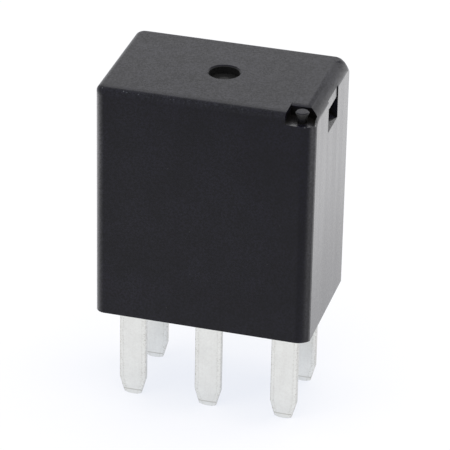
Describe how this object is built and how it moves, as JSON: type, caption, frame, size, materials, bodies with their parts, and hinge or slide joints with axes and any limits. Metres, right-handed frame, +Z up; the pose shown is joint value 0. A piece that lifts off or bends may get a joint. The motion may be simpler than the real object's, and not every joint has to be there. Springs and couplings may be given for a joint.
{
  "type": "automotive relay",
  "caption": "Sealed black plug-in automotive relay with a changeover contact, a coil and flat tin-plated blades.",
  "frame": {"origin": "centre of the footprint, at the level of the blade tips", "axes": "+Z up, away from the blades; +X along the row of three blades; -Y is the front, the side of that row"},
  "size_m": [0.0226, 0.0148, 0.0365],
  "materials": {
    "cover_plastic": "fine matte grain, black",
    "base_plastic": "moulded, black",
    "resin": "cast, black, slightly glossy",
    "tin_plated": "matte tin plating",
    "magnet_iron": "zinc-plated soft iron",
    "bobbin_plastic": "natural moulded",
    "enamelled_wire": "enamelled copper",
    "coil_tape_film": "yellow film",
    "rivet_steel": "plain steel",
    "spring_copper": "rolled copper alloy",
    "contact_silver": "silver alloy"
  },
  "bodies": {
    "housing": {"cover": "cover_plastic", "base": "base_plastic", "sealing_resin": "resin", "terminal_30": "tin_plated", "terminal_85": "tin_plated", "terminal_86": "tin_plated", "terminal_87": "tin_plated", "terminal_87a": "tin_plated", "yoke": "magnet_iron", "core": "magnet_iron", "bobbin": "bobbin_plastic", "coil_winding": "enamelled_wire", "coil_lead_85": "enamelled_wire", "coil_lead_86": "enamelled_wire", "coil_tape": "coil_tape_film", "yoke_rivets": "rivet_steel", "no_contact": "contact_silver", "nc_contact": "contact_silver"},
    "armature_group": {"armature": "magnet_iron", "armature_rivets": "rivet_steel", "contact_spring": "spring_copper", "moving_contact": "contact_silver"}
  },
  "joints": [
    {"name": "armature_hinge", "type": "hinge", "parent": "housing", "child": "armature_group", "pos_m": [-0.0087, 0, 0.02943], "axis": [0, 1, 0], "range_deg": [0, 3.19], "stiffness_Nm_per_rad": 0.004, "springref_deg": -5.73, "deforming": ["contact_spring"]}
  ]
}
